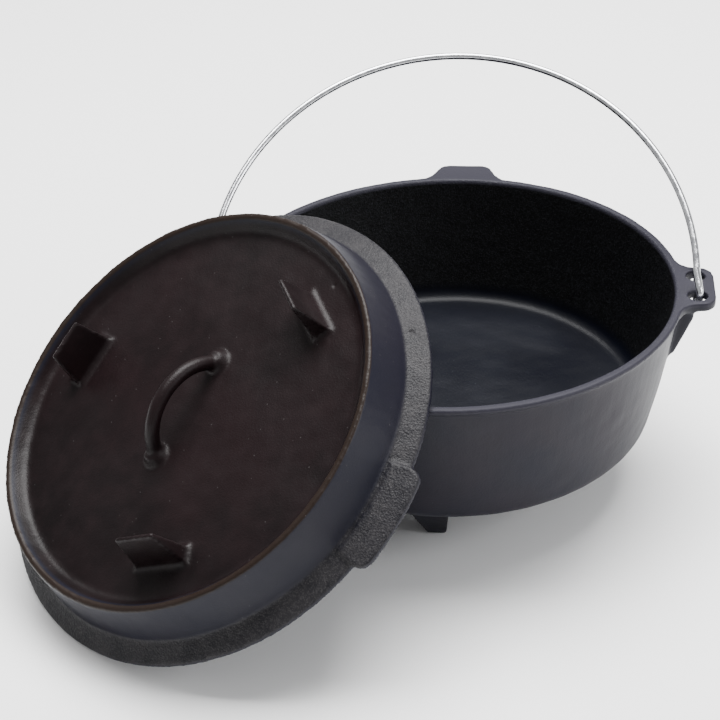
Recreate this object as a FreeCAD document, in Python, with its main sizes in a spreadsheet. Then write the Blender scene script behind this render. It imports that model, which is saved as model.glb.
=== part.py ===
"""Cast-iron dutch oven: a three-legged pot, its legged lid leaning beside it, and a wire bail.

The origin is on the ground under the pot's axis. +X runs through the right ear, +Y is the rear
and +Z is up. Millimetres. Each casting is one solid, and the bail is one bent wire.
"""
import FreeCAD, Part
import math
import os

import Sketcher
from FreeCAD import Placement, Rotation, Vector

PARTS_FOLDER = "parts"
SHEET_NAME = "Dimensions"
X_AXIS = Vector(1, 0, 0)
Y_AXIS = Vector(0, 1, 0)
Z_AXIS = Vector(0, 0, 1)
START, END = 1, 2
ORIGIN_GEOMETRY, HORIZONTAL_AXIS, VERTICAL_AXIS = -1, -1, -2

DIMENSIONS = {
    # pot: bowl
    "rim_top": 141.5,
    "rim_low": 138.2,
    "rim_outer": 153.0,
    "rim_inner": 147.0,
    "wall_top": 137.4,
    "wall_top_radius": 150.8,
    "wall_foot_radius": 133.6,
    "wall_curve": 857.0,
    "underside": 44.3,
    "cooking_floor": 51.5,
    "cavity_foot_radius": 129.4,
    "bowl_corner": 12.5,
    "cavity_corner": 9.0,
    "rim_edge": 1.2,
    # pot: legs
    "leg_root_left": 27.5,
    "leg_root_right": 7.0,
    "leg_root_near": 88.0,
    "leg_root_far": 116.0,
    "leg_foot_left": 10.4,
    "leg_foot_right": 2.2,
    "leg_foot_near": 79.0,
    "leg_foot_far": 89.0,
    "leg_bury": 3.0,
    # pot: ears
    "ear_low": 135.0,
    "ear_reach": 172.5,
    "ear_half_width": 24.0,
    "ear_corner": 10.0,
    "ear_neck": 13.0,
    "ear_neck_across": 149.1,
    "ear_neck_along": 34.1,
    "ear_side_start": 161.8,
    "rim_core": 149.0,
    "ear_root_across": 144.3,
    "ear_root_along": 37.1,
    "ear_hole_radius": 6.2,
    "ear_hole_across": 160.8,
    "ear_hole_along": 12.7,
    # pot: gussets under the ears
    "gusset_centre": 21.2,
    "gusset_thickness": 5.0,
    "gusset_top_reach": 158.4,
    "gusset_knee": 130.5,
    "gusset_foot_reach": 147.3,
    "gusset_toe_reach": 143.8,
    "gusset_foot": 103.6,
    "gusset_toe": 101.0,
    "gusset_root_foot": 139.0,
    "gusset_root_top": 147.0,
    # pot: rear tab
    "tab_low": 136.5,
    "tab_reach": 171.5,
    "tab_side": 1.8,
    "tab_half_width": 12.5,
    "tab_corner_across": 18.5,
    "tab_corner_along": 168.0,
    "tab_corner": 9.0,
    "tab_shoulder_across": 23.5,
    "tab_shoulder_along": 155.5,
    "tab_root_across": 28.5,
    "tab_root_along": 149.6,
    "tab_root_inner": 146.2,
    # lid: plate, skirt and flange
    "plate_low": 24.3,
    "plate_top": 30.2,
    "plate_edge_radius": 124.2,
    "lip_top": 39.6,
    "lip_outer": 134.5,
    "lip_inner": 130.9,
    "crease": 8.9,
    "crease_radius": 141.7,
    "flange_radius": 155.1,
    "flange_edge": 3.5,
    "hollow_top_radius": 132.9,
    "hollow_knee_radius": 137.2,
    "hollow_knee": 7.5,
    "hollow_mouth_radius": 150.6,
    "lip_corner": 6.0,
    # lid: tab
    "lid_tab_angle": 95.7,
    "lid_tab_sweep": 24.0,
    "lid_tab_reach": 163.5,
    "lid_tab_root": 144.0,
    "lid_tab_root_top": 9.8,
    "lid_tab_edge_top": 3.9,
    "lid_tab_corner": 8.0,
    # lid: legs
    "lid_leg_angle": 36.0,
    "lid_leg_base_near": 92.5,
    "lid_leg_base_far": 104.0,
    "lid_leg_base_half_width": 18.0,
    "lid_leg_tip_near": 95.5,
    "lid_leg_tip_far": 98.5,
    "lid_leg_tip_half_width": 13.6,
    "lid_leg_top": 60.5,
    # lid: loop handle
    "handle_angle": 5.0,
    "handle_half_span": 34.5,
    "handle_apex": 53.8,
    "handle_bar_radius": 4.8,
    "handle_sink": 2.6,
    "handle_foot_radius": 9.6,
    "handle_foot_neck": 5.2,
    "handle_foot_height": 7.0,
    # lid: how it leans
    "lid_centre_across": -141.49,
    "lid_centre_along": -109.75,
    "lid_centre_up": 93.42,
    "lid_tilt": 37.02,
    "lid_heading": 226.07,
    # bail
    "bail_pivot_height": 138.25,
    "bail_lean": 52.3,
    "wire_radius": 2.4,
    "bow_radius": 161.8,
    "hook_bend": 4.0,
    "hook_radius": 12.38,
    "hook_centre_along": -1.1,
    "hook_centre_up": 0.19,
    "hook_rise": 3.3,
    "hook_turn": 6.0,
    "hook_tip_length": 13.2,
    "hook_tip_slope": 36.87,
    "hook_tip_inward": 11.0,
}


def value(formula):
    """Adds up a formula of cell names and plain numbers, parted by spaces, + and -."""
    total, sign = 0.0, 1.0
    for token in str(formula).split():
        if token in "+-":
            sign = 1.0 if token == "+" else -1.0
            continue
        amount = DIMENSIONS[token] if token in DIMENSIONS else float(token)
        total += sign * amount
        sign = 1.0
    return total


def expression(formula):
    """The same formula as FreeCAD reads it, bound to the sheet's cells."""
    tokens = str(formula).split()
    return " ".join(f"{SHEET_NAME}.{token}" if token in DIMENSIONS else token for token in tokens)


def make_sheet(doc):
    sheet = doc.addObject("Spreadsheet::Sheet", SHEET_NAME)
    for row, (alias, amount) in enumerate(DIMENSIONS.items(), start=1):
        sheet.set(f"A{row}", alias)
        sheet.set(f"B{row}", str(amount))
        sheet.setAlias(f"B{row}", alias)
    doc.recompute()


def origin_feature(body, role):
    return next(item for item in body.Origin.OriginFeatures if item.Role == role)


def make_body(doc, label):
    body = doc.addObject("PartDesign::Body", label)
    body.Label = label
    return body


def make_sketch(body, name, plane, lift="0", turn="0"):
    """A sketch on one of the body's own planes, lifted along its normal or turned about +Z."""
    sketch = body.newObject("Sketcher::SketchObject", name)
    sketch.AttachmentSupport = [(origin_feature(body, plane), "")]
    sketch.MapMode = "FlatFace"
    turn_axis = Z_AXIS if plane == "XY_Plane" else Y_AXIS
    sketch.AttachmentOffset = Placement(Vector(0, 0, value(lift)), Rotation(turn_axis, value(turn)))
    if lift != "0":
        sketch.setExpression("AttachmentOffset.Base.z", expression(lift))
    if turn != "0":
        sketch.setExpression("AttachmentOffset.Rotation.Angle", expression(turn))
    return sketch


def bind_coordinate(sketch, kind, axis, edge, formula):
    """Holds an edge's first point at a bound distance from the sketch's origin."""
    amount = value(formula)
    if abs(amount) < 1e-9:
        sketch.addConstraint(Sketcher.Constraint("PointOnObject", edge[0], edge[1], axis))
        return
    if amount > 0:
        ends, text = (ORIGIN_GEOMETRY, START, edge[0], edge[1]), expression(formula)
    else:
        ends, text = (edge[0], edge[1], ORIGIN_GEOMETRY, START), f"0 - ({expression(formula)})"
    index = sketch.addConstraint(Sketcher.Constraint(kind, *ends, abs(amount)))
    sketch.setExpression(f"Constraints[{index}]", text)


def arc_between(start, end, radius, side):
    """The short arc from start to end; side +1 puts its centre left of that direction."""
    chord = end - start
    half = chord.Length / 2
    normal = Vector(-chord.y, chord.x, 0).normalize()
    centre = start + chord * 0.5 + normal * (side * math.sqrt(radius**2 - half**2))
    first, last = (start, end) if side > 0 else (end, start)
    angles = [math.atan2(point.y - centre.y, point.x - centre.x) for point in (first, last)]
    if angles[1] < angles[0]:
        angles[1] += 2 * math.pi
    return Part.ArcOfCircle(Part.Circle(centre, Z_AXIS, radius), angles[0], angles[1])


def draw_outline(sketch, points, arcs=None):
    """A closed outline through the points; arcs maps an edge's number to (radius, side)."""
    arcs = arcs or {}
    places = [Vector(value(u), value(v), 0) for u, v in points]
    firsts, lasts = [], []
    for number, start in enumerate(places):
        end = places[(number + 1) % len(places)]
        if number in arcs:
            radius, side = arcs[number]
            edge = sketch.addGeometry(arc_between(start, end, value(radius), side), False)
            index = sketch.addConstraint(Sketcher.Constraint("Radius", edge, value(radius)))
            sketch.setExpression(f"Constraints[{index}]", expression(radius))
            firsts.append((edge, START if side > 0 else END))
            lasts.append((edge, END if side > 0 else START))
        else:
            edge = sketch.addGeometry(Part.LineSegment(start, end), False)
            firsts.append((edge, START))
            lasts.append((edge, END))
    for number, last in enumerate(lasts):
        following = firsts[(number + 1) % len(firsts)]
        sketch.addConstraint(Sketcher.Constraint("Coincident", *last, *following))
    for first, (u, v) in zip(firsts, points):
        bind_coordinate(sketch, "DistanceX", VERTICAL_AXIS, first, u)
        bind_coordinate(sketch, "DistanceY", HORIZONTAL_AXIS, first, v)


def draw_circle(sketch, across, along, radius):
    centre = Vector(value(across), value(along), 0)
    circle = sketch.addGeometry(Part.Circle(centre, Z_AXIS, value(radius)), False)
    index = sketch.addConstraint(Sketcher.Constraint("Radius", circle, value(radius)))
    sketch.setExpression(f"Constraints[{index}]", expression(radius))
    bind_coordinate(sketch, "DistanceX", VERTICAL_AXIS, (circle, 3), across)
    bind_coordinate(sketch, "DistanceY", HORIZONTAL_AXIS, (circle, 3), along)


def revolve(body, sketch, name, angle="360"):
    feature = body.newObject("PartDesign::Revolution", name)
    feature.Profile = sketch
    feature.ReferenceAxis = (sketch, ["V_Axis"])
    feature.Angle = value(angle)
    if angle != "360":
        feature.setExpression("Angle", expression(angle))
        feature.Midplane = True
    return feature


def pad(body, sketch, name, length, middle=False):
    feature = body.newObject("PartDesign::Pad", name)
    feature.Profile = sketch
    feature.setExpression("Length", expression(length))
    feature.Midplane = middle
    return feature


def cut_holes(doc, body, sketch, name, length):
    """Pockets the sketch upwards, and makes sure that it takes metal away."""
    doc.recompute()
    before = body.Shape.Volume
    feature = body.newObject("PartDesign::Pocket", name)
    feature.Profile = sketch
    feature.Reversed = True
    feature.setExpression("Length", expression(length))
    doc.recompute()
    if body.Shape.Volume > before - 1:
        raise RuntimeError(f"{name} cuts nothing")
    return feature


def loft(body, lower, upper, name):
    feature = body.newObject("PartDesign::AdditiveLoft", name)
    feature.Profile = lower
    feature.Sections = [upper]
    feature.Ruled = True
    return feature


def repeat_round_axis(body, originals, name, count):
    feature = body.newObject("PartDesign::PolarPattern", name)
    feature.Originals = originals
    feature.Axis = (origin_feature(body, "Z_Axis"), [""])
    feature.Angle = 360
    feature.Occurrences = count
    body.Tip = feature
    return feature


def mirror_across(body, originals, name, plane):
    feature = body.newObject("PartDesign::Mirrored", name)
    feature.Originals = originals
    feature.MirrorPlane = (origin_feature(body, plane), [""])
    body.Tip = feature
    return feature


def round_edges(doc, body, name, radius, chosen):
    """Fillets the edges of the body so far that the test picks out."""
    doc.recompute()
    base = body.Tip
    edges = [f"Edge{n}" for n, edge in enumerate(base.Shape.Edges, start=1) if chosen(edge)]
    if not edges:
        raise RuntimeError(f"{name} finds no edge")
    feature = body.newObject("PartDesign::Fillet", name)
    feature.Base = (base, edges)
    feature.setExpression("Radius", expression(radius))
    doc.recompute()
    return feature


def is_ring(edge, radius, height, slack=0.05):
    """True for a circle about the Z axis with this radius at this height."""
    curve = edge.Curve
    if curve.TypeId != "Part::GeomCircle":
        return False
    return (
        abs(curve.Radius - value(radius)) < slack
        and abs(curve.Center.z - value(height)) < slack
        and math.hypot(curve.Center.x, curve.Center.y) < slack
    )


def radial_rectangle(near, far, half_width):
    """Corners of a block from near to far along the sketch's X, even about that axis."""
    minus = f"0 - {half_width}"
    return [(near, minus), (far, minus), (far, half_width), (near, half_width)]


def add_bowl(doc, body):
    profile = make_sketch(body, "BowlProfile", "XZ_Plane")
    draw_outline(
        profile,
        [
            ("0", "underside"),
            ("wall_foot_radius", "underside"),
            ("wall_top_radius", "wall_top"),
            ("rim_outer", "rim_low"),
            ("rim_outer", "rim_top"),
            ("rim_inner", "rim_top"),
            ("cavity_foot_radius", "cooking_floor"),
            ("0", "cooking_floor"),
        ],
        {1: ("wall_curve", 1), 5: ("wall_curve", -1)},
    )
    revolve(body, profile, "Bowl")
    round_edges(
        doc, body, "BowlCorner", "bowl_corner",
        lambda edge: is_ring(edge, "wall_foot_radius", "underside"),
    )
    round_edges(
        doc, body, "CavityCorner", "cavity_corner",
        lambda edge: is_ring(edge, "cavity_foot_radius", "cooking_floor"),
    )
    round_edges(
        doc, body, "RimEdges", "rim_edge",
        lambda edge: is_ring(edge, "rim_inner", "rim_top") or is_ring(edge, "rim_outer", "rim_top"),
    )


def leg_section(end):
    """The front leg's outline at one end: its left side flares more than its right."""
    left, right = f"0 - leg_{end}_left", f"leg_{end}_right"
    near, far = f"0 - leg_{end}_near", f"0 - leg_{end}_far"
    return [(left, far), (right, far), (right, near), (left, near)]


def add_pot_legs(body):
    root = make_sketch(body, "LegRoot", "XY_Plane", "underside + leg_bury")
    draw_outline(root, leg_section("root"))
    foot = make_sketch(body, "LegFoot", "XY_Plane")
    draw_outline(foot, leg_section("foot"))
    leg = loft(body, foot, root, "Leg")
    repeat_round_axis(body, [leg], "Legs", 3)


def ear_outline():
    half = [
        ("ear_root_across", "ear_root_along"),
        ("ear_neck_across", "ear_neck_along"),
        ("ear_side_start", "ear_half_width"),
        ("ear_reach - ear_corner", "ear_half_width"),
        ("ear_reach", "ear_half_width - ear_corner"),
    ]
    mirrored = [
        (across, "0 - " + along.replace(" - ", " + ")) for across, along in reversed(half)
    ]
    arcs = {
        1: ("ear_neck", 1),
        3: ("ear_corner", -1),
        5: ("ear_corner", -1),
        7: ("ear_neck", 1),
        9: ("rim_core", 1),
    }
    return half + mirrored, arcs


def add_ears(doc, body):
    outline = make_sketch(body, "EarOutline", "XY_Plane", "ear_low")
    draw_outline(outline, *ear_outline())
    ear = pad(body, outline, "Ear", "rim_top - ear_low")
    gussets = [add_gusset(body, side) for side in ("front", "rear")]
    holes = make_sketch(body, "EarHoleCentres", "XY_Plane", "ear_low")
    draw_circle(holes, "ear_hole_across", "ear_hole_along", "ear_hole_radius")
    draw_circle(holes, "ear_hole_across", "0 - ear_hole_along", "ear_hole_radius")
    pair = cut_holes(doc, body, holes, "EarHoles", "rim_top - ear_low")
    mirror_across(body, [ear, *gussets, pair], "LeftEar", "YZ_Plane")


def add_gusset(body, side):
    lift = "gusset_centre" if side == "front" else "0 - gusset_centre"
    sketch = make_sketch(body, f"Gusset_{side}_profile", "XZ_Plane", lift)
    draw_outline(
        sketch,
        [
            ("gusset_root_foot", "gusset_toe"),
            ("gusset_toe_reach", "gusset_toe"),
            ("gusset_foot_reach", "gusset_foot"),
            ("gusset_top_reach", "gusset_knee"),
            ("gusset_top_reach", "ear_low + 1"),
            ("gusset_root_top", "ear_low + 1"),
        ],
    )
    return pad(body, sketch, f"Gusset_{side}", "gusset_thickness", middle=True)


def add_rear_tab(body):
    sketch = make_sketch(body, "TabOutline", "XY_Plane", "tab_low")
    half = [
        ("tab_root_across", "tab_root_inner"),
        ("tab_root_across", "tab_root_along"),
        ("tab_shoulder_across", "tab_shoulder_along"),
        ("tab_corner_across", "tab_corner_along"),
        ("tab_half_width", "tab_reach"),
    ]
    right = [(f"tab_side + {across}", along) for across, along in half]
    left = [(f"tab_side - {across}", along) for across, along in reversed(half)]
    corners = {3: ("tab_corner", 1), 5: ("tab_corner", 1), 9: ("rim_core", -1)}
    draw_outline(sketch, right + left, corners)
    pad(body, sketch, "RearTab", "rim_top - tab_low")


def build_pot(doc):
    body = make_body(doc, "pot_casting")
    add_bowl(doc, body)
    add_pot_legs(body)
    add_ears(doc, body)
    add_rear_tab(body)
    doc.recompute()
    return body


def add_lid_shell(doc, body):
    profile = make_sketch(body, "LidProfile", "XZ_Plane")
    draw_outline(
        profile,
        [
            ("0", "plate_low"),
            ("hollow_top_radius", "plate_low"),
            ("hollow_knee_radius", "hollow_knee"),
            ("hollow_mouth_radius", "0"),
            ("flange_radius", "0"),
            ("flange_radius", "flange_edge"),
            ("crease_radius", "crease"),
            ("lip_outer", "lip_top"),
            ("lip_inner", "lip_top"),
            ("plate_edge_radius", "plate_top"),
            ("0", "plate_top"),
        ],
    )
    revolve(body, profile, "Shell")
    round_edges(
        doc, body, "LipCorner", "lip_corner",
        lambda edge: is_ring(edge, "plate_edge_radius", "plate_top"),
    )


def add_lid_tab(doc, body):
    profile = make_sketch(body, "LidTabProfile", "XZ_Plane", turn="lid_tab_angle")
    draw_outline(
        profile,
        [
            ("lid_tab_root", "0"),
            ("lid_tab_reach", "0"),
            ("lid_tab_reach", "lid_tab_edge_top"),
            ("lid_tab_root", "lid_tab_root_top"),
        ],
    )
    revolve(body, profile, "LidTab", "lid_tab_sweep")

    def is_tab_corner(edge):
        if len(edge.Vertexes) != 2:
            return False
        reaches = [math.hypot(v.X, v.Y) for v in edge.Vertexes]
        rises = abs(edge.Vertexes[0].Z - edge.Vertexes[1].Z)
        return min(reaches) > value("lid_tab_reach - 0.1") and rises > 1

    round_edges(doc, body, "LidTabCorners", "lid_tab_corner", is_tab_corner)


def add_lid_legs(body):
    base = make_sketch(body, "LidLegBase", "XY_Plane", "plate_top - 1", "lid_leg_angle")
    draw_outline(
        base, radial_rectangle("lid_leg_base_near", "lid_leg_base_far", "lid_leg_base_half_width")
    )
    tip = make_sketch(body, "LidLegTip", "XY_Plane", "lid_leg_top", "lid_leg_angle")
    draw_outline(
        tip, radial_rectangle("lid_leg_tip_near", "lid_leg_tip_far", "lid_leg_tip_half_width")
    )
    leg = loft(body, base, tip, "LidLeg")
    repeat_round_axis(body, [leg], "LidLegs", 3)


def add_loop_handle(doc, body):
    """A round bar bent over the middle of the plate, with a flared foot at each end."""
    path = make_sketch(body, "HandlePath", "XZ_Plane", turn="handle_angle")
    span, rise = value("handle_half_span"), value("handle_apex - plate_top + handle_sink")
    radius = (span**2 + rise**2) / (2 * rise)
    centre = Vector(0, value("handle_apex") - radius, 0)
    low = math.asin((rise - radius) / radius) * -1
    bow = Part.ArcOfCircle(Part.Circle(centre, Z_AXIS, radius), low, math.pi - low)
    edge = path.addGeometry(bow, False)
    foot_height = "plate_top - handle_sink"
    for end, across in ((START, "handle_half_span"), (END, "0 - handle_half_span")):
        bind_coordinate(path, "DistanceX", VERTICAL_AXIS, (edge, end), across)
        bind_coordinate(path, "DistanceY", HORIZONTAL_AXIS, (edge, end), foot_height)
    path.addConstraint(Sketcher.Constraint("Radius", edge, radius))

    section = make_sketch(body, "HandleSection", "YZ_Plane")
    section.AttachmentOffset = Placement(Vector(), Rotation(Y_AXIS, value("handle_angle")))
    section.setExpression("AttachmentOffset.Rotation.Angle", expression("handle_angle"))
    draw_circle(section, "0", "handle_apex", "handle_bar_radius")
    pipe = body.newObject("PartDesign::AdditivePipe", "HandleBar")
    pipe.Profile = section
    pipe.Spine = path
    for name, side in (("HandleFootRight", 1), ("HandleFootLeft", -1)):
        add_handle_foot(body, name, side)
    doc.recompute()


def add_handle_foot(body, name, side):
    foot = body.newObject("PartDesign::AdditiveCone", name)
    foot.AttachmentSupport = [(origin_feature(body, "XY_Plane"), "")]
    foot.MapMode = "FlatFace"
    foot.setExpression("Radius1", expression("handle_foot_radius"))
    foot.setExpression("Radius2", expression("handle_foot_neck"))
    foot.setExpression("Height", expression("handle_foot_height"))
    span = f"{side} * {SHEET_NAME}.handle_half_span"
    heading = f"{SHEET_NAME}.handle_angle * 1 deg"
    foot.setExpression("AttachmentOffset.Base.x", f"{span} * cos({heading})")
    foot.setExpression("AttachmentOffset.Base.y", f"{span} * sin({heading})")
    foot.setExpression("AttachmentOffset.Base.z", expression("plate_top - 1"))


def build_lid(doc):
    body = make_body(doc, "lid_casting")
    add_lid_shell(doc, body)
    add_lid_tab(doc, body)
    add_lid_legs(body)
    add_loop_handle(doc, body)
    heading = Rotation(Z_AXIS, value("lid_heading"))
    tilt = Rotation(Y_AXIS, value("lid_tilt"))
    centre = Vector(value("lid_centre_across"), value("lid_centre_along"), value("lid_centre_up"))
    body.Placement = Placement(centre, heading.multiply(tilt))
    doc.recompute()
    return body


def arc_edge(centre, start, middle, end):
    return Part.Arc(centre + start, centre + middle, centre + end).toShape()


def polar(radius, degrees):
    """A point of the hook's plane, its angle taken from +Y towards +Z."""
    angle = math.radians(degrees)
    return Vector(0, radius * math.cos(angle), radius * math.sin(angle))


def bow_slope():
    """How far the bow rises above the level where it leans back, in degrees."""
    return 90 - value("bail_lean")


def hook_centre(across):
    return Vector(across, value("hook_centre_along"), value("hook_centre_up"))


def bend_centre(across):
    return hook_centre(across) + Vector(0, value("hook_radius + hook_bend"), 0)


def bow_foot(across):
    """Where the bow ends and its hook begins."""
    return bend_centre(across) + polar(value("hook_bend"), 90 + bow_slope())


def turned_in(point, across):
    """Swings a point of the hook's plane about the vertical, towards the pot."""
    angle = math.copysign(math.radians(value("hook_tip_inward")), across)
    return Vector(-point.y * math.sin(angle), point.y * math.cos(angle), point.z)


def hook_edges(across):
    """One hooked end: down through the rear hole, up through the front one and back over."""
    bend, hook, turn = value("hook_bend"), value("hook_radius"), value("hook_turn")
    centre = hook_centre(across)
    riser_foot = centre - Vector(0, hook, 0)
    rise = Vector(0, 0, value("hook_rise - hook_centre_up"))
    turn_centre = riser_foot + rise + turned_in(Vector(0, turn, 0), across)
    slope = value("hook_tip_slope")
    over_front = [
        turned_in(polar(turn, angle), across) for angle in (180, 135 + slope / 2, 90 + slope)
    ]
    tip_start = turn_centre + over_front[-1]
    tip_end = tip_start + turned_in(polar(value("hook_tip_length"), slope), across)
    into_hole = [polar(bend, angle) for angle in (90 + bow_slope(), 135 + bow_slope() / 2, 180)]
    under_bridge = [polar(hook, angle) for angle in (0, -90, 180)]
    return [
        arc_edge(bend_centre(across), *into_hole),
        arc_edge(centre, *under_bridge),
        Part.LineSegment(riser_foot, riser_foot + rise).toShape(),
        arc_edge(turn_centre, *over_front),
        Part.LineSegment(tip_start, tip_end).toShape(),
    ]


def build_bail(doc):
    """The whole wire is one sweep along a path of tangent lines and arcs."""
    reach = value("bow_radius")
    top = bow_foot(0) + polar(reach, bow_slope())
    bow = Part.Arc(bow_foot(-reach), top, bow_foot(reach)).toShape()
    left, right = hook_edges(-reach), hook_edges(reach)
    path = Part.Wire([*reversed(left), bow, *right])
    tip = left[-1].Vertexes[-1].Point
    along_tip = turned_in(polar(1, value("hook_tip_slope")), -reach)
    section = Part.Wire(Part.Circle(tip, along_tip, value("wire_radius")).toShape())
    bail = doc.addObject("Part::Feature", "wire_bail")
    bail.Label = "wire_bail"
    bail.Shape = path.makePipeShell([section], True, False)
    bail.Placement = Placement(Vector(0, 0, value("bail_pivot_height")), Rotation())
    length = sum(edge.Length for edge in [*left, bow, *right])
    expected = math.pi * value("wire_radius") ** 2 * length
    if abs(bail.Shape.Volume / expected - 1) > 0.01:
        raise RuntimeError("the bail's volume does not match its section and length")
    return bail


def check_document(doc, parts):
    for item in doc.Objects:
        if {"Invalid", "Error"} & set(item.State):
            raise RuntimeError(f"{item.Label} failed: {item.State}")
    for part in parts:
        shape = part.Shape
        if shape.isNull() or not shape.isValid() or len(shape.Solids) != 1:
            raise RuntimeError(f"{part.Label} is not one sound solid")


def main():
    doc = FreeCAD.newDocument("DutchOven")
    make_sheet(doc)
    parts = [build_pot(doc), build_lid(doc), build_bail(doc)]
    doc.recompute()
    check_document(doc, parts)
    os.makedirs(PARTS_FOLDER, exist_ok=True)
    for part in parts:
        part.Shape.exportStep(os.path.join(PARTS_FOLDER, f"{part.Label}.step"))
        print(part.Label, round(part.Shape.Volume), "mm3")


main()
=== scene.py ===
"""Looks of the cast-iron dutch oven: cast surfaces, plated wire, studio light and the camera."""
import math
import random

import bmesh
import bpy
import numpy as np
from mathutils import Matrix, Vector


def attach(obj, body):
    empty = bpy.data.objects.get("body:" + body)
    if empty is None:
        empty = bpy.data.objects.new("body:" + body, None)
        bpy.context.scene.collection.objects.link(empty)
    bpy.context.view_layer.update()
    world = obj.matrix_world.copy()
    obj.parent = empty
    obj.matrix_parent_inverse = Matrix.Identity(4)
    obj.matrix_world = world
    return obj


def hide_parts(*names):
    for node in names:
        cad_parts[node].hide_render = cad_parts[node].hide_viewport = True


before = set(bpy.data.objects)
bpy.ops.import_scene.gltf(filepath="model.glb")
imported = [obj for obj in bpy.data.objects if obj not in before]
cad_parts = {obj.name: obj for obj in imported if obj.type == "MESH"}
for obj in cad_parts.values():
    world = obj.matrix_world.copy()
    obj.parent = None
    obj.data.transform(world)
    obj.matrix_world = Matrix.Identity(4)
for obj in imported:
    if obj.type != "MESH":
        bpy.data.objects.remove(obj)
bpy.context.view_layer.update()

MM = 0.001

# The skin of the castings.
VOXEL = 1.15 * MM
SMOOTH_FACTOR = 0.6
SMOOTH_PASSES = 5
WAVE_COUNT = 36
WAVE_LENGTHS = (9, 40)
MEAN_SETTLING = 1.2
DEEPEST_SETTLING = 3
POT_SETTLING = 0.07
LID_SETTLING = 0.09
POT_SEED = 3
LID_SEED = 8
GROUND = 0.0

# The lid leans: its centre, and the way its own axes point.
LID_CENTRE = Vector((-141.49, -109.75, 93.42)) * MM
LID_HEADING = math.radians(226.07)
LID_TILT = math.radians(37.02)
LID_LEG_ANGLES = (36.0, 156.0, -84.0)

# The fillet at the foot of a lid leg, as (centre x, half x, half y, height) at its base and its top.
LEG_FILLET_BASE = (98.2, 8.6, 20.4, 29.6)
LEG_FILLET_TOP = (98.1, 5.6, 17.4, 32.4)

# Marks in the lid's skin, as (radius, degrees, height, size, depth).
PIT_IN_PLATE = (119, 161, 30.2, 1.2, 0.8)
NICK_IN_FLANGE = (146, 142, 7.2, 1.5, 1.3)

# Sizes that the pot's material tells regions by.
RIM_BELOW = 137.9 * MM
SEAM_LEVEL = 137.5 * MM
COOKING_FLOOR = 51.5 * MM
WALL_MIDDLE_AT_FLOOR = 132.0 * MM
WALL_SPREAD = 0.19

# Sizes that the lid's material tells regions by.
FLANGE_CREASE = 9.6 * MM
FLANGE_INNER = 139.5 * MM
PLATE_BELOW = 27.0 * MM
LIP_INNER = 127.5 * MM
LIP_LEVEL = 37.8 * MM

CAMERA_PLACE = Vector((63.14, -957.19, 694.07)) * MM
CAMERA_FORWARD = Vector((-0.10879, 0.8356, -0.53846))
CAMERA_UP = Vector((-0.02465, 0.53924, 0.84179))
CAMERA_ANGLE = math.radians(24.257)
CAMERA_NEAR = 0.05


def color(red, green, blue):
    return (red, green, blue, 1.0)


# Seasoned iron, each region as its darker and its lighter tone.
POT_OUTSIDE = (color(0.0052, 0.0055, 0.0110), color(0.0088, 0.0072, 0.0120))
POT_INSIDE = (color(0.0018, 0.0022, 0.0048), color(0.0030, 0.0036, 0.0068))
POT_INNER_WALL = color(0.0016, 0.0016, 0.0018)
POT_RIM = color(0.019, 0.018, 0.026)
POT_SEAM = color(0.012, 0.012, 0.016)
# Pale colour for the painted glints on the inner wall, and for the pale flecks.
POT_GLINT_AND_FLECK = color(0.060, 0.063, 0.075)
LID_PLATE = (color(0.0030, 0.0015, 0.0018), color(0.0058, 0.0030, 0.0035))
LID_PLATE_CLOUD = color(0.0100, 0.0042, 0.0050)
LID_SKIRT = (color(0.0050, 0.0053, 0.0112), color(0.0080, 0.0072, 0.0125))
LID_LIP = color(0.0125, 0.0075, 0.0055)
LID_FLANGE = (color(0.0085, 0.0082, 0.0105), color(0.0170, 0.0160, 0.0180))
# Pale colour for the painted glints on the flange, and for the pale flecks.
LID_GLINT_AND_FLECK = color(0.09, 0.085, 0.085)
WIRE = (color(0.62, 0.63, 0.66), color(0.80, 0.81, 0.83))
POT_SPECULAR = 0.17
LID_SPECULAR = 0.16

FLOOR_COLOR = color(0.97, 0.97, 0.97)
FLOOR_ROUGHNESS = 0.9
FLOOR_SIZE = 30
FLOOR_LEVEL = -0.2 * MM
WORLD_COLOR = color(1.0, 1.0, 1.0)
WORLD_STRENGTH = 0.5
WHITE_LIGHT = (1, 1, 1)
COOL_LIGHT = (0.97, 0.98, 1.0)

# ---------------------------------------------------------------- shapes


def lid_matrix():
    turn = Matrix.Rotation(LID_HEADING, 4, "Z") @ Matrix.Rotation(LID_TILT, 4, "Y")
    return Matrix.Translation(LID_CENTRE) @ turn


def link(name, mesh):
    piece = bpy.data.objects.new(name, mesh)
    bpy.context.scene.collection.objects.link(piece)
    return piece


def add_frustum(work, matrix, base, top):
    """A closed block between two rectangles, each (centre x, half x, half y, height)."""
    corners = []
    for centre, half_x, half_y, height in (base, top):
        for sign_x, sign_y in ((-1, -1), (1, -1), (1, 1), (-1, 1)):
            place = Vector((centre + sign_x * half_x, sign_y * half_y, height)) * MM
            corners.append(work.verts.new(matrix @ place))
    work.faces.new(corners[3::-1])
    work.faces.new(corners[4:])
    for side in range(4):
        following = (side + 1) % 4
        work.faces.new((corners[side], corners[following], corners[following + 4], corners[side + 4]))


def add_leg_fillets(work):
    """A low skirt round each lid leg, which the smoothing turns into a fillet."""
    for degrees in LID_LEG_ANGLES:
        matrix = lid_matrix() @ Matrix.Rotation(math.radians(degrees), 4, "Z")
        add_frustum(work, matrix, LEG_FILLET_BASE, LEG_FILLET_TOP)


def node_copy(name, node, add_extras):
    """A new object with the node's mesh, and any extra shapes."""
    work = bmesh.new()
    work.from_mesh(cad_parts[node].data)
    if add_extras:
        add_extras(work)
    mesh = bpy.data.meshes.new(name)
    work.to_mesh(mesh)
    work.free()
    return link(f"{name}_rough", mesh)


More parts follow.
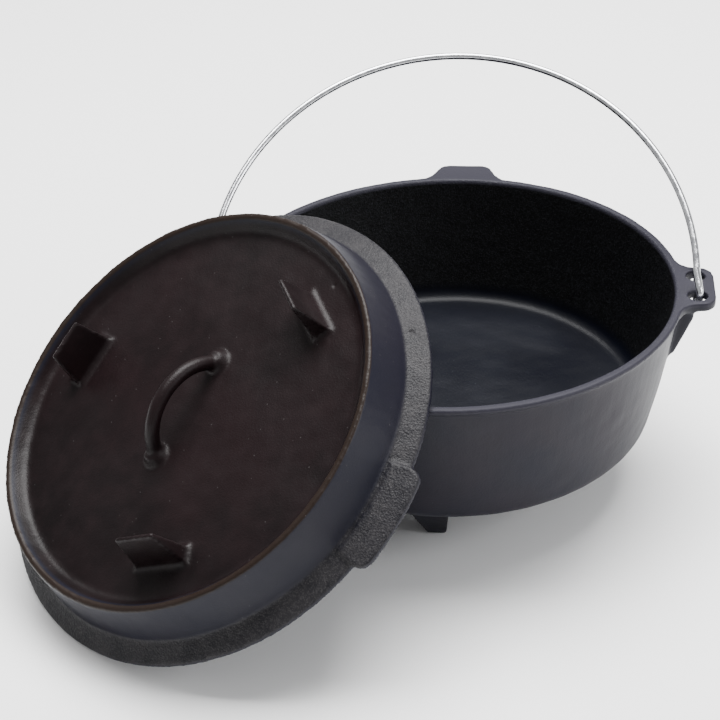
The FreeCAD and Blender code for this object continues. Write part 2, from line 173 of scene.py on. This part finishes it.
def cast_piece(name, node, add_extras=None):
    """The node's shape with the soft edges and filled corners of a sand casting."""
    rough = node_copy(name, node, add_extras)
    remesh = rough.modifiers.new("Skin", "REMESH")
    remesh.mode = "VOXEL"
    remesh.voxel_size = VOXEL
    remesh.use_smooth_shade = True
    smooth = rough.modifiers.new("Soften", "SMOOTH")
    smooth.factor = SMOOTH_FACTOR
    smooth.iterations = SMOOTH_PASSES
    depsgraph = bpy.context.evaluated_depsgraph_get()
    skin = bpy.data.meshes.new_from_object(rough.evaluated_get(depsgraph))
    skin.name = name
    bpy.data.objects.remove(rough)
    return link(name, skin)


def read_points(mesh):
    points = np.empty(len(mesh.vertices) * 3)
    mesh.vertices.foreach_get("co", points)
    normals = np.empty(len(mesh.vertices) * 3)
    mesh.vertices.foreach_get("normal", normals)
    return points.reshape(-1, 3), normals.reshape(-1, 3)


def write_points(mesh, points):
    mesh.vertices.foreach_set("co", points.ravel())
    mesh.update()


def soft_waves(points, seed):
    """A smooth random field from many plane waves, between about -1 and 1."""
    chance = random.Random(seed)
    field = np.zeros(len(points))
    for _ in range(WAVE_COUNT):
        direction = Vector([chance.gauss(0, 1) for _ in range(3)]).normalized()
        length = chance.uniform(*WAVE_LENGTHS) * MM
        phase = chance.uniform(0, 2 * math.pi)
        field += np.sin(points @ np.array(direction) * (2 * math.pi / length) + phase)
    return field / math.sqrt(WAVE_COUNT)


def settle_surface(piece, seed, depth):
    """Pushes the skin inwards a little, unevenly, and keeps it above the ground."""
    mesh = piece.data
    points, normals = read_points(mesh)
    inward = (MEAN_SETTLING + soft_waves(points, seed)).clip(0, DEEPEST_SETTLING) * depth * MM
    points -= normals * inward[:, None]
    points[:, 2] = points[:, 2].clip(GROUND, None)
    write_points(mesh, points)


def dent(piece, matrix, spots):
    """Pits the skin; each spot is (radius, degrees, height, size, depth) in the matrix's frame."""
    mesh = piece.data
    points, normals = read_points(mesh)
    for radius, degrees, height, size, depth in spots:
        angle = math.radians(degrees)
        place = Vector((radius * math.cos(angle), radius * math.sin(angle), height)) * MM
        spot = np.array(matrix @ place)
        distance = np.linalg.norm(points - spot, axis=1) / (size * MM)
        points -= normals * (depth * MM * np.exp(-(distance**2)))[:, None]
    write_points(mesh, points)


# ---------------------------------------------------------------- materials


class Graph:
    """Short names for making and joining a material's nodes."""

    def __init__(self, name):
        self.material = bpy.data.materials.new(name)
        self.material.use_nodes = True
        self.tree = self.material.node_tree
        self.shader = self.tree.nodes["Principled BSDF"]
        coordinates = self.tree.nodes.new("ShaderNodeTexCoord")
        self.place = coordinates.outputs["Object"]

    def feed(self, socket, source):
        if isinstance(source, (int, float, tuple)):
            socket.default_value = source
        else:
            self.tree.links.new(source, socket)

    def dress(self, base, rough, normal):
        for name, source in (("Base Color", base), ("Roughness", rough), ("Normal", normal)):
            self.feed(self.shader.inputs[name], source)

    def math(self, operation, first, second=0.0, third=0.0):
        node = self.tree.nodes.new("ShaderNodeMath")
        node.operation = operation
        for socket, source in zip(node.inputs, (first, second, third)):
            self.feed(socket, source)
        return node.outputs[0]

    def both(self, first, second):
        return self.math("MULTIPLY", first, second)

    def noise(self, scale, detail=3.0, roughness=0.55):
        node = self.tree.nodes.new("ShaderNodeTexNoise")
        node.inputs["Scale"].default_value = scale
        node.inputs["Detail"].default_value = detail
        node.inputs["Roughness"].default_value = roughness
        self.feed(node.inputs["Vector"], self.place)
        return node.outputs["Fac"]

    def cells(self, scale):
        node = self.tree.nodes.new("ShaderNodeTexVoronoi")
        node.inputs["Scale"].default_value = scale
        self.feed(node.inputs["Vector"], self.place)
        return node

    def cell_value(self, node, channel):
        """A random number for each cell."""
        parts = self.tree.nodes.new("ShaderNodeSeparateColor")
        self.feed(parts.inputs[0], node.outputs["Color"])
        return parts.outputs[channel]

    def ramp(self, source, low, high, start=0.0, end=1.0):
        node = self.tree.nodes.new("ShaderNodeMapRange")
        node.interpolation_type = "SMOOTHSTEP"
        self.feed(node.inputs["Value"], source)
        for name, amount in (("From Min", low), ("From Max", high), ("To Min", start), ("To Max", end)):
            node.inputs[name].default_value = amount
        return node.outputs["Result"]

    def blend(self, amount, first, second):
        node = self.tree.nodes.new("ShaderNodeMix")
        node.data_type = "RGBA"
        self.feed(node.inputs["Factor"], amount)
        self.feed(node.inputs["A"], first)
        self.feed(node.inputs["B"], second)
        return node.outputs["Result"]

    def between(self, amount, first, second):
        """A number that goes from first to second."""
        span = self.math("SUBTRACT", second, first)
        return self.math("MULTIPLY_ADD", amount, span, first)

    def lid_place(self):
        """The place in the leaning lid's own frame."""
        matrix = lid_matrix()
        mapping = self.tree.nodes.new("ShaderNodeMapping")
        mapping.vector_type = "TEXTURE"
        mapping.inputs["Location"].default_value = matrix.to_translation()
        mapping.inputs["Rotation"].default_value = matrix.to_euler("XYZ")
        self.feed(mapping.inputs["Vector"], self.place)
        return mapping.outputs["Vector"]

    def cylinder(self, place):
        """Distance from the place's upright axis, and height along it."""
        parts = self.tree.nodes.new("ShaderNodeSeparateXYZ")
        self.feed(parts.inputs[0], place)
        across = self.math("MULTIPLY", parts.outputs["X"], parts.outputs["X"])
        squares = self.math("MULTIPLY_ADD", parts.outputs["Y"], parts.outputs["Y"], across)
        return self.math("SQRT", squares), parts.outputs["Z"]

    def bump(self, height, distance, strength, base=None):
        node = self.tree.nodes.new("ShaderNodeBump")
        node.inputs["Distance"].default_value = distance
        self.feed(node.inputs["Strength"], strength)
        self.feed(node.inputs["Height"], height)
        if base:
            self.feed(node.inputs["Normal"], base)
        return node.outputs["Normal"]


def cast_grain(graph, coarse):
    """Grain of the sand mould: pebbles about a millimetre across, and finer grit."""
    pebbles = graph.cells(780.0).outputs["Distance"]
    grit = graph.noise(1500.0, 2.0)
    lumps = graph.noise(330.0, 3.0)
    height = graph.math("MULTIPLY_ADD", pebbles, 0.7, graph.both(grit, 0.6))
    height = graph.math("ADD", height, lumps)
    fine = graph.bump(height, 0.35 * MM, graph.between(coarse, 0.16, 0.95))
    return graph.bump(graph.noise(70.0, 2.0), 0.6 * MM, 0.22, fine)


def specks(graph, share):
    """A few tiny light flecks."""
    node = graph.cells(420.0)
    chosen = graph.math("GREATER_THAN", graph.cell_value(node, 0), 1.0 - share)
    centre = graph.math("LESS_THAN", node.outputs["Distance"], 0.16)
    return graph.both(chosen, centre)


def painted_glints(graph, coarse, strength):
    """Painted glints: pale colour on random facets of the grain, standing in for light the facets
    catch.
    """
    facets = graph.cell_value(graph.cells(1500.0), 1)
    bright = graph.ramp(facets, 0.45, 1.0, 0.0, strength)
    return graph.both(bright, coarse)


# Painted glints on grain facets, together with the pale flecks.
def painted_glints_and_flecks(graph, coarse, facet_strength, fleck_share, fleck_strength):
    flecks = graph.both(specks(graph, fleck_share), fleck_strength)
    return graph.math("ADD", painted_glints(graph, coarse, facet_strength), flecks)


def uneven(graph, scale, rough):
    """The roughness, with shinier and duller patches."""
    return graph.math("ADD", rough, graph.ramp(graph.noise(scale, 3.0), 0.3, 0.7, -0.05, 0.06))


def pot_regions(graph):
    """How far a place is inside the bowl, on its inner wall, on the rim and on the seam below it."""
    radius, height = graph.cylinder(graph.place)
    above_floor = graph.math("SUBTRACT", height, COOKING_FLOOR)
    wall_middle = graph.math("MULTIPLY_ADD", above_floor, WALL_SPREAD, WALL_MIDDLE_AT_FLOOR)
    inside = graph.ramp(graph.math("SUBTRACT", wall_middle, radius), -0.6 * MM, 0.6 * MM)
    over_floor = graph.ramp(height, COOKING_FLOOR - 3 * MM, COOKING_FLOOR - 1.5 * MM)
    inside = graph.both(inside, over_floor)
    wall = graph.ramp(height, COOKING_FLOOR + 5 * MM, COOKING_FLOOR + 14 * MM)
    rim = graph.ramp(height, RIM_BELOW, RIM_BELOW + 1.5 * MM)
    from_seam = graph.math("ABSOLUTE", graph.math("SUBTRACT", height, SEAM_LEVEL))
    seam = graph.ramp(from_seam, 0.2 * MM, 1.1 * MM, 1, 0)
    seam = graph.both(seam, graph.math("SUBTRACT", 1.0, inside))
    return inside, graph.both(inside, wall), rim, seam


def pot_material():
    graph = Graph("seasoned_iron_pot")
    inside, inner_wall, rim, seam = pot_regions(graph)
    tone = graph.ramp(graph.noise(16.0, 4.0), 0.35, 0.68)
    cavity = graph.blend(inner_wall, graph.blend(tone, *POT_INSIDE), POT_INNER_WALL)
    base = graph.blend(inside, graph.blend(tone, *POT_OUTSIDE), cavity)
    base = graph.blend(rim, base, POT_RIM)
    base = graph.blend(graph.both(seam, 0.6), base, POT_SEAM)
    # Painted glints on the inner wall's grain, and pale flecks over the whole pot.
    base = graph.blend(painted_glints_and_flecks(graph, inner_wall, 0.16, 0.012, 0.4), base, POT_GLINT_AND_FLECK)
    outer_rough = graph.between(rim, 0.47, 0.55)
    inner_rough = graph.between(inner_wall, 0.36, 0.50)
    rough = uneven(graph, 9.0, graph.between(inside, outer_rough, inner_rough))
    coarse = graph.math("MULTIPLY_ADD", inner_wall, 0.85, 0.06)
    graph.dress(base, rough, cast_grain(graph, coarse))
    graph.shader.inputs["Specular IOR Level"].default_value = POT_SPECULAR
    return graph.material


def lid_regions(graph):
    """How far a place is on the flange's face, on the plate and on the top of the lip."""
    radius, height = graph.cylinder(graph.lid_place())
    low = graph.ramp(height, FLANGE_CREASE - 1.2 * MM, FLANGE_CREASE + 1.2 * MM, 1.0, 0.0)
    outside = graph.ramp(radius, FLANGE_INNER, FLANGE_INNER + 2 * MM)
    above_edge = graph.ramp(height, 2.2 * MM, 3.6 * MM)
    flange = graph.both(graph.both(low, outside), above_edge)
    within_lip = graph.ramp(radius, LIP_INNER, LIP_INNER + 2.5 * MM, 1.0, 0.0)
    plate = graph.both(within_lip, graph.ramp(height, PLATE_BELOW, PLATE_BELOW + 1.0 * MM))
    lip_height = graph.ramp(height, LIP_LEVEL, LIP_LEVEL + 1.0 * MM)
    lip = graph.both(lip_height, graph.ramp(radius, LIP_INNER, LIP_INNER + 2 * MM))
    return flange, plate, lip


def lid_material():
    graph = Graph("seasoned_iron_lid")
    flange, plate, lip = lid_regions(graph)
    mottle = graph.ramp(graph.noise(55.0, 4.0, 0.62), 0.36, 0.66)
    cloud = graph.ramp(graph.noise(11.0, 3.0), 0.32, 0.70)
    brown = graph.blend(graph.both(cloud, 0.55), graph.blend(mottle, *LID_PLATE), LID_PLATE_CLOUD)
    base = graph.blend(plate, graph.blend(cloud, *LID_SKIRT), brown)
    base = graph.blend(lip, base, LID_LIP)
    base = graph.blend(flange, base, graph.blend(mottle, *LID_FLANGE))
    # Painted glints on the flange's grain, and pale flecks over the whole lid.
    base = graph.blend(painted_glints_and_flecks(graph, flange, 0.22, 0.03, 0.35), base, LID_GLINT_AND_FLECK)
    smooth_rough = graph.between(plate, 0.44, 0.42)
    rough = uneven(graph, 14.0, graph.between(flange, smooth_rough, 0.50))
    coarse = graph.math("MULTIPLY_ADD", flange, 0.85, graph.both(plate, 0.12))
    graph.dress(base, rough, cast_grain(graph, coarse))
    graph.shader.inputs["Specular IOR Level"].default_value = LID_SPECULAR
    return graph.material


def wire_material():
    graph = Graph("bright_zinc_wire")
    drawn = graph.noise(240.0, 3.0)
    base = graph.blend(graph.ramp(drawn, 0.35, 0.7), *WIRE)
    rough = graph.ramp(drawn, 0.3, 0.7, 0.13, 0.26)
    graph.dress(base, rough, graph.bump(graph.noise(900.0), 0.2 * MM, 0.10))
    graph.shader.inputs["Metallic"].default_value = 1.0
    return graph.material


def floor_material():
    graph = Graph("pale_floor")
    graph.shader.inputs["Base Color"].default_value = FLOOR_COLOR
    graph.shader.inputs["Roughness"].default_value = FLOOR_ROUGHNESS
    return graph.material


# ---------------------------------------------------------------- the pieces


def paint(piece, material):
    piece.data.materials.clear()
    piece.data.materials.append(material)


def build_pot():
    pot = cast_piece("pot", "pot_casting")
    settle_surface(pot, POT_SEED, POT_SETTLING)
    paint(pot, pot_material())
    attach(pot, "pot")
    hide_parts("pot_casting")


def build_lid():
    lid = cast_piece("lid", "lid_casting", add_leg_fillets)
    settle_surface(lid, LID_SEED, LID_SETTLING)
    dent(lid, lid_matrix(), [PIT_IN_PLATE, NICK_IN_FLANGE])
    paint(lid, lid_material())
    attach(lid, "lid")
    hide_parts("lid_casting")


def dress_wire():
    paint(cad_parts["wire_bail"], wire_material())


# ---------------------------------------------------------------- stage


def build_floor():
    bpy.ops.mesh.primitive_plane_add(size=FLOOR_SIZE, location=(0, 0, FLOOR_LEVEL))
    floor = bpy.context.object
    floor.name = "floor"
    floor.data.materials.append(floor_material())


def area_light(name, place, target, size, power, tint):
    data = bpy.data.lights.new(name, "AREA")
    data.shape = "RECTANGLE"
    data.size, data.size_y = size
    data.energy = power
    data.color = tint
    light = bpy.data.objects.new(name, data)
    light.location = place
    light.rotation_euler = (Vector(target) - Vector(place)).to_track_quat("-Z", "Y").to_euler()
    bpy.context.scene.collection.objects.link(light)


def build_lights():
    world = bpy.data.worlds.new("studio")
    bpy.context.scene.world = world
    world.use_nodes = True
    background = world.node_tree.nodes["Background"]
    background.inputs["Color"].default_value = WORLD_COLOR
    background.inputs["Strength"].default_value = WORLD_STRENGTH
    area_light("top", (0.0, 0.5, 2.2), (0.0, 0.0, 0.1), (2.0, 1.6), 190, WHITE_LIGHT)
    area_light("side", (1.5, -0.5, 0.8), (0.0, 0.0, 0.08), (0.6, 0.9), 16, COOL_LIGHT)


def build_camera():
    data = bpy.data.cameras.new("camera")
    data.sensor_fit = "HORIZONTAL"
    data.angle = CAMERA_ANGLE
    data.clip_start = CAMERA_NEAR
    camera = bpy.data.objects.new("camera", data)
    right = CAMERA_FORWARD.cross(CAMERA_UP).normalized()
    up = right.cross(CAMERA_FORWARD).normalized()
    axes = Matrix((right, up, -CAMERA_FORWARD.normalized())).transposed().to_4x4()
    camera.matrix_world = Matrix.Translation(CAMERA_PLACE) @ axes
    bpy.context.scene.collection.objects.link(camera)
    bpy.context.scene.camera = camera


build_pot()
build_lid()
dress_wire()
build_floor()
build_lights()
build_camera()
